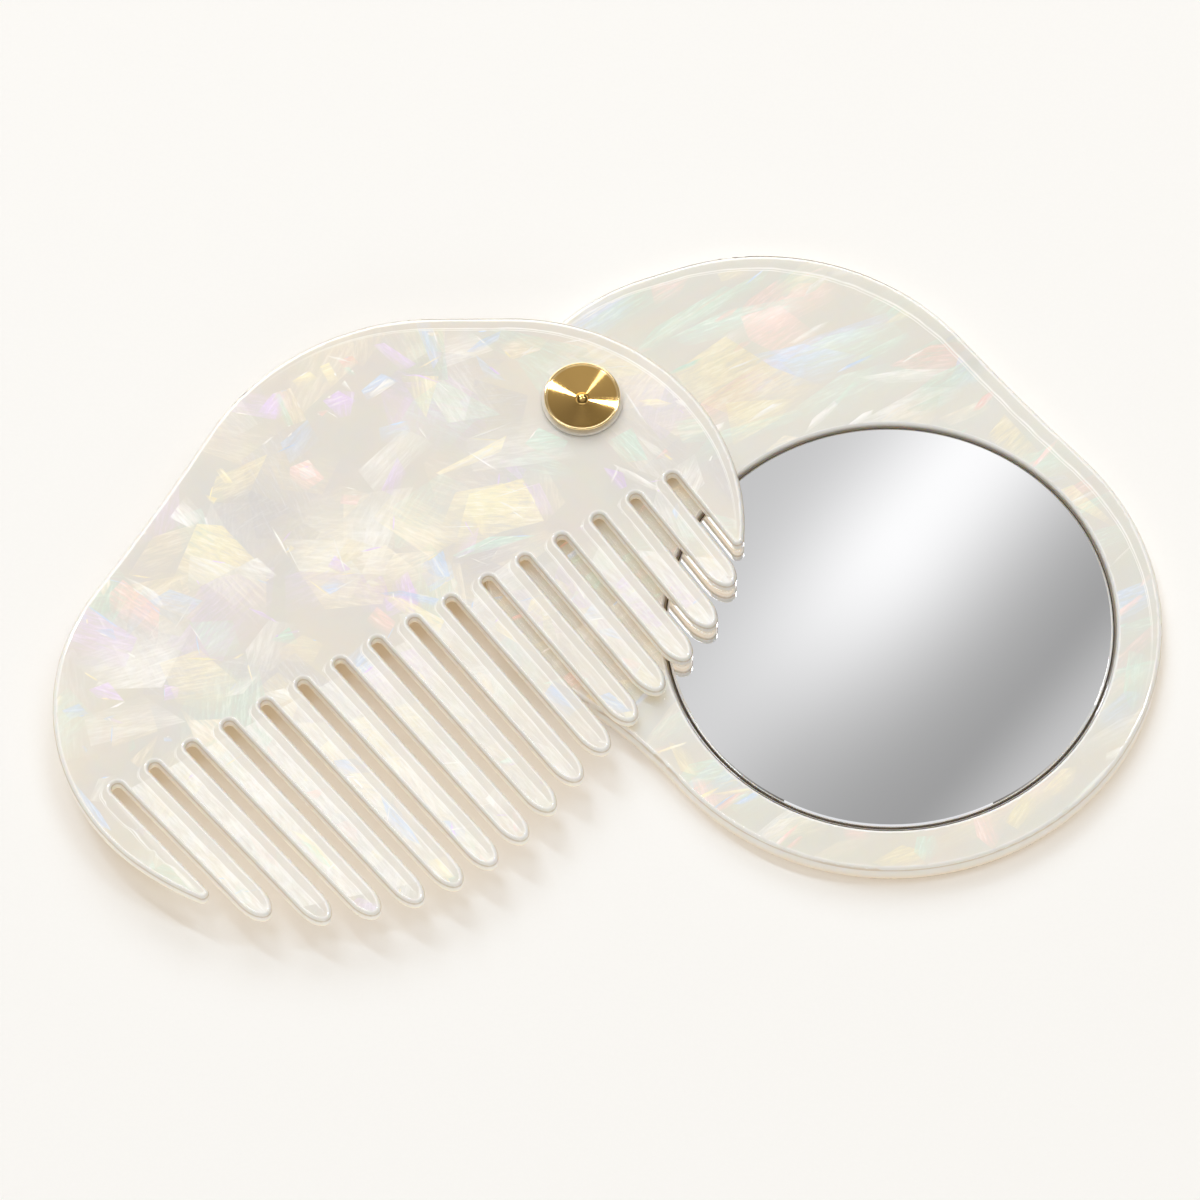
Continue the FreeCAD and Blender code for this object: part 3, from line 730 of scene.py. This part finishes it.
def flake_values(flake, point):
    """Tint and strength, place within the flake, and form of the flake at a point."""
    local = Vector(point[:2]) - flake.centre
    along = local.dot(unit(flake.heading))
    across = local.dot(unit(flake.heading + 90))
    place = (along, across, flake.seed * grain_shift)
    form = (1 / flake.half_length, 1 / flake.half_width, flake.soft)
    return (*tints[flake.tint][:3], flake.strength), place, form


def core_piece(name, slabs, body, material):
    """Pearl core made of closed slabs, which carries its flakes and edges as attributes."""
    points, edges, faces, shown = [], [], [], []
    for slab_points, slab_edges, slab_sides, slab_shown in slabs:
        faces += [[corner + len(points) for corner in face] for face in slab_sides]
        points += slab_points
        edges += slab_edges
        shown += slab_shown
    data = bpy.data.meshes.new(name)
    data.from_pydata([Vector(point) * MM for point in points], [], faces)
    data.polygons.foreach_set("use_smooth", [len(face) == 4 for face in faces])
    distances = [value for edge in edges for value in edge]
    data.attributes.new("leaf_edge", "FLOAT_VECTOR", "POINT").data.foreach_set("vector", distances)
    for layer in range(layers):
        carried = {"tint": [], "place": [], "form": []}
        for face, flakes in zip(faces, shown):
            empty = layers - len(flakes)
            flake = flakes[layer - empty] if layer >= empty else no_flake
            for corner in face:
                for values, value in zip(carried.values(), flake_values(flake, points[corner])):
                    values += value
        for attribute, values in carried.items():
            kind, field = ("FLOAT_COLOR", "color") if attribute == "tint" else ("FLOAT_VECTOR", "vector")
            made = data.attributes.new(f"flake_{attribute}_{layer}", kind, "CORNER")
            made.data.foreach_set(field, values)
    data.materials.append(material)
    piece = added(name, data)
    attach(piece, body)


# Chance flakes: how many, then ranges of length, width, strength and softness. Lengths are in millimetres,
# and so are widths in the mirror leaf. In the comb a width is a share of the length
Kind = namedtuple("Kind", "count length width strength soft corners tints spread", defaults=(None,))
comb_seed = 11
comb_kinds = [
    Kind(180, (9, 20), (0.4, 0.9), (0.2, 0.6), (0, 1), [4, 5],
         ["cream", "cream", "mint", "grey", "gold", "white", "white", "lilac"]),
    Kind(70, (4, 9), (0.3, 0.8), (0.3, 1.0), (0, 1), [3, 4, 4, 5],
         ["gold", "gold", "cream", "lilac", "blue", "mint", "pink", "white"]),
    Kind(70, (1.2, 4), (0.25, 0.7), (0.3, 1.0), (0.4, 1.0), [3, 4, 4],
         ["gold", "lilac", "blue", "mint", "pink", "white", "white"]),
]
comb_mark_soft = (0.0, 0.5)
# Bright lines along edges of the comb's flakes: place and length in shares of an edge, width in
# millimetres, and how far one may turn off its edge in degrees
glint_count = 260
glint_turn = 6
glint_place = (0.3, 0.7)
glint_length = (0.2, 0.8)
glint_width = (0.15, 0.45)
glint_strength = (0.6, 2.2)
glint_soft = (0.3, 1.0)
glint_tints = ["white", "white", "white", "blue", "lilac", "gold"]
# Flakes of the mirror leaf, with the heading they flow along and their spread about it in degrees
leaf_seed = 5
leaf_heading = 32
leaf_mark_soft = 0.7
leaf_streaks = Kind(160, (8, 26), (2, 6), (0.2, 0.7), (0.6, 1.0), 6,
                    ["gold", "cream", "mint", "mint", "pink", "blue", "white"], spread=10)
leaf_wisps = Kind(130, (3, 10), (0.3, 1.2), (0.5, 1.6), (0.4, 0.9), 5,
                  ["gold", "white", "mint", "white", "blue", "pink"], spread=12)


def scattered(chance, low, high, kind, make):
    """Flakes of a kind at chance places in a box."""
    flakes = []
    for _ in range(kind.count):
        spot = Vector((chance.uniform(low.x, high.x), chance.uniform(low.y, high.y))) / MM
        flakes.append(make(chance, kind, spot))
    return flakes


def comb_shard(chance, kind, spot):
    """Angular flake that lies any way."""
    tint = chance.choice(kind.tints)
    length = chance.uniform(*kind.length)
    heading = chance.uniform(0, 360)
    width = length * chance.uniform(*kind.width)
    strength = chance.uniform(*kind.strength)
    soft = chance.uniform(*kind.soft)
    corners = chance.choice(kind.corners)
    return shard(chance, spot, heading, length, width, tint, strength, soft, corners)


def leaf_shard(chance, kind, spot):
    """Long flake that flows with the others."""
    tint = chance.choice(kind.tints)
    heading = chance.gauss(leaf_heading, kind.spread)
    length = chance.uniform(*kind.length)
    width = chance.uniform(*kind.width)
    strength = chance.uniform(*kind.strength)
    soft = chance.uniform(*kind.soft)
    return shard(chance, spot, heading, length, width, tint, strength, soft, kind.corners)


def edge_glint(chance, flake):
    """Bright line along part of a flake's edge."""
    corner = chance.randrange(len(flake.corners))
    start, end = flake.corners[corner - 1], flake.corners[corner]
    run = end - start
    heading = math.degrees(math.atan2(run.y, run.x)) + chance.uniform(-glint_turn, glint_turn)
    tint = chance.choice(glint_tints)
    centre = start.lerp(end, chance.uniform(*glint_place))
    length = run.length * chance.uniform(*glint_length)
    width = chance.uniform(*glint_width)
    strength = chance.uniform(*glint_strength)
    soft = chance.uniform(*glint_soft)
    return shard(chance, centre, heading, length, width, tint, strength, soft)


def comb_flakes(low, high):
    """Angular flakes that lie every way, and bright lines along some of their edges."""
    chance = random.Random(comb_seed)
    flakes = []
    for kind in comb_kinds:
        flakes += scattered(chance, low, high, kind, comb_shard)
    flakes += [mark(chance, *row, soft=chance.uniform(*comb_mark_soft)) for row in comb_marks]
    return flakes + [edge_glint(chance, flake) for flake in chance.sample(flakes, glint_count)]


def leaf_flakes(low, high):
    """Long flakes that flow one way."""
    chance = random.Random(leaf_seed)
    flakes = scattered(chance, low, high, leaf_streaks, leaf_shard)
    flakes += [mark(chance, *row, soft=leaf_mark_soft) for row in leaf_marks]
    return flakes + scattered(chance, low, high, leaf_wisps, leaf_shard)


def core_rim(high, outline):
    """Radius of a core's rim: how far a leaf reaches past its flat face, less the skin."""
    return high.x / MM - max(point.x for point in outline) - rim_skin


pivot_centre = centre_of("pivot_post")
glass_centre = centre_of("mirror_glass")

# Core of the comb leaf
comb_low, comb_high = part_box("comb_leaf")
comb_outline = face_outline("comb_leaf")
comb_rim = core_rim(comb_high, comb_outline)
comb_face = Face(comb_outline, [circle(pivot_centre, post_bore + core_skin + comb_rim)], *comb_band)
comb_slab = slab(comb_face, comb_flakes(comb_low, comb_high), comb_low.z / MM + core_skin,
                 comb_high.z / MM - core_skin, comb_rim)
comb_pearl = pearl("comb_pearl", ground=srgb(231, 226, 215), cloud=srgb(225, 223, 218),
                   painted_band_tone=srgb(224, 220, 212), streak_turn=20.0, streak_stretch=1.0)
core_piece("comb_pearl_core", [comb_slab], "comb_side", comb_pearl)

# Core of the mirror leaf, with the floor of the mirror's pocket as a slab of its own
leaf_low, leaf_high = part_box("mirror_leaf")
pad_low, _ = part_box("mirror_adhesive_pad")
leaf_outline = face_outline("mirror_leaf")
leaf_rim = core_rim(leaf_high, leaf_outline)
pocket_radius = radius_of("mirror_glass") / MM + pocket_gap + core_skin
leaf_holes = [circle(pivot_centre, rear_pocket + core_skin + leaf_rim),
              circle(glass_centre, pocket_radius + leaf_rim)]
flows = leaf_flakes(leaf_low, leaf_high)
leaf_base = leaf_low.z / MM + core_skin
leaf_face = Face(leaf_outline, leaf_holes, *leaf_band)
leaf_slab = slab(leaf_face, flows, leaf_base, leaf_high.z / MM - core_skin, leaf_rim)
pocket_floor = Face(circle(glass_centre, pocket_radius - slab_gap - leaf_rim), [], *leaf_band)
pocket_slab = slab(pocket_floor, flows, leaf_base, pad_low.z / MM - core_skin, leaf_rim)
leaf_pearl = pearl("mirror_leaf_pearl", ground=srgb(230, 226, 216), cloud=srgb(224, 225, 219),
                   painted_band_tone=srgb(224, 223, 216), streak_turn=-32.0, streak_stretch=2.5)
core_piece("mirror_leaf_pearl_core", [leaf_slab, pocket_slab], "mirror_side",
           leaf_pearl)

# Finishes of the CAD pieces, and the widths of the head's painted rim highlight and the glass's painted
# rim shade in millimetres
head_rim_highlight = 0.4
glass_rim_shade = 0.15
pivot_gold = gold(pivot_centre, radius_of("pivot_post") / MM - head_rim_highlight)
pivot_steel = steel(pivot_centre)
nylon = speckled("clear_nylon", srgb(238, 235, 229), srgb(229, 225, 217), fineness=1.5, roughness=0.4,
                 height=0.004 * MM)
foam = speckled("adhesive_foam", srgb(210, 210, 205), srgb(190, 190, 184), fineness=6.0, roughness=0.8,
                height=0.03 * MM)
finishes = {
    "comb_leaf": clear_skin("comb_leaf_acetate"),
    "mirror_leaf": clear_skin("mirror_leaf_acetate"),
    "mirror_glass": mirror(glass_centre, radius_of("mirror_glass") / MM - glass_rim_shade),
    "mirror_adhesive_pad": foam,
    "pivot_post": pivot_gold,
    "pivot_screw": pivot_gold,
    "head_washer": nylon,
    "leaf_washer": nylon,
    "rear_washer": pivot_steel,
    "disc_spring": pivot_steel,
}
for name, finish in finishes.items():
    nodes[name].data.materials.clear()
    nodes[name].data.materials.append(finish)
for name in ("comb_leaf", "mirror_leaf"):
    nodes[name].visible_shadow = False
    nodes[name].visible_diffuse = False

# Camera
camera_data = bpy.data.cameras.new("camera")
camera_data.lens = camera_lens
camera_data.sensor_width = camera_sensor
camera = added("camera", camera_data)
tilt = math.radians(camera_elevation)
away = Vector((0, -math.cos(tilt), math.sin(tilt)))
camera.location = camera_target + away * (view_width * camera_lens / camera_sensor)
camera.rotation_euler = (math.pi / 2 - tilt, 0, 0)
bpy.context.scene.camera = camera

# Floor, a little below the part
floor_half = 6.0
floor_gap = 0.05 * MM
paper = speckled("floor_paper", srgb(251, 250, 247), srgb(250, 249, 246), fineness=2.0, roughness=0.9,
                 height=0.002 * MM)
floor = square("floor", floor_half, paper)
floor.location.z = -floor_gap

# Light
ambient = (0.435, 0.41, 0.373, 1.0)
studio_high = (0.58, 0.56, 0.53, 1.0)
studio_low = (0.09, 0.08, 0.07, 1.0)
backdrop = srgb(250, 249, 245)
daylight = (0.98, 1.0, 1.04)
# Heights of the studio's shades, from the horizon at 0 to straight up at 1
backdrop_top = Ramp(0.2, 0.42)
ceiling = Ramp(0.6, 1.0)


def studio_world():
    """Warm light all round, and for the eye and for reflections a pale backdrop below a grey ceiling."""
    world = bpy.data.worlds.new("studio")
    bpy.context.scene.world = world
    world.use_nodes = True
    made = Nodes(world.node_tree)
    towards = made.node("TexCoord").outputs["Generated"]
    height = made.node("SeparateXYZ", {0: towards}).outputs["Z"]
    above = made.mix(made.span(height, *ceiling), studio_low, studio_high)
    studio = made.mix(made.span(height, *backdrop_top), backdrop, above)
    rays = made.node("LightPath").outputs
    direct = made.math("MAXIMUM", rays["Is Glossy Ray"], rays["Is Transmission Ray"])
    direct = made.math("MAXIMUM", rays["Is Camera Ray"], direct)
    made.put(made.tree.nodes["Background"].inputs["Color"], made.mix(direct, ambient, studio))


def lamp(name, place, size, power, along=(1.0, 0.0, 0.0)):
    """Soft lamp that points at the middle of the view, with its length along a direction."""
    data = bpy.data.lights.new(name, "AREA")
    data.shape = "RECTANGLE"
    data.size, data.size_y = size
    data.energy = power
    data.color = daylight
    made = added(name, data)
    made.location = camera_target + Vector(place)
    back = Vector(place).normalized()
    side = back.cross(Vector(along)).normalized()
    made.rotation_euler = Matrix((side.cross(back), side, back)).transposed().to_euler()
    made.visible_camera = False


# Soft band of light that the mirror shows, on a card seen only in reflections
card_distance = 0.6
card_half = 0.04
# Look of the card in its plane, in millimetres: the directions, middle, widths and fall of the band, and
# the greys on both sides of it
glow_across = (0.76, -0.65, 0.0)
glow_along = (-0.65, -0.76, 0.0)
glow_middle = -8.1
glow_widths = Ramp(-1.0, 1.0, 9.0, 12.5)
glow_fall = Ramp(-12.0, 34.0, 1.0, 0.35)
glow_white = (1.16, 1.16, 1.16, 1.0)
card_grey = Ramp(-10.0, 12.0, 0.65, 0.39)
card_edge = Ramp(30.0, 44.0, 0.0, 0.3)


def light_band():
    """Grey card with a soft diagonal band, where the mirror sees it from the camera."""
    made = Shader("light_band")
    place = made.place()
    across = made.math("SUBTRACT", made.dot(place, glow_across), glow_middle)
    width = made.math("DIVIDE", across, made.span(across, *glow_widths))
    bell = made.math("EXPONENT", made.times(width, width, -0.5))
    reach = made.span(made.dot(place, glow_along), *glow_fall, smooth=True)
    grey = made.math("ADD", made.span(across, *card_grey, smooth=True),
                     made.span(across, *card_edge, smooth=True))
    colour = made.mix(made.times(bell, reach), grey, glow_white)
    made.show(made.node("Emission", {"Color": colour, "Strength": 1.0}).outputs[0])
    card = square("light_band", card_half, made.material)
    seen = (glass_centre - camera.location).normalized()
    card.location = glass_centre + Vector((seen.x, seen.y, -seen.z)) * card_distance
    card.rotation_euler = (tilt - math.pi / 2, 0, 0)
    card.visible_camera = False
    card.visible_diffuse = False
    card.visible_shadow = False
    card.visible_transmission = False


studio_world()
lamp("top", place=(-1.64, 0.6, 5.1), size=(1.8, 1.8), power=35.0)
lamp("strip_right", place=(1.70, 1.60, 4.20), size=(2.4, 0.30), power=30.0, along=(0.92, -0.31, -0.25))
lamp("strip_left", place=(-1.60, 2.72, 3.62), size=(2.4, 0.18), power=44.0, along=(-0.79, 0.27, -0.55))
lamp("back", place=(-0.5, 4.1, 2.7), size=(4.0, 2.0), power=90.0)
lamp("front", place=(0.0, -4.8, 2.0), size=(8.0, 1.6), power=34.0)
light_band()
bpy.context.scene.view_settings.view_transform = "Standard"
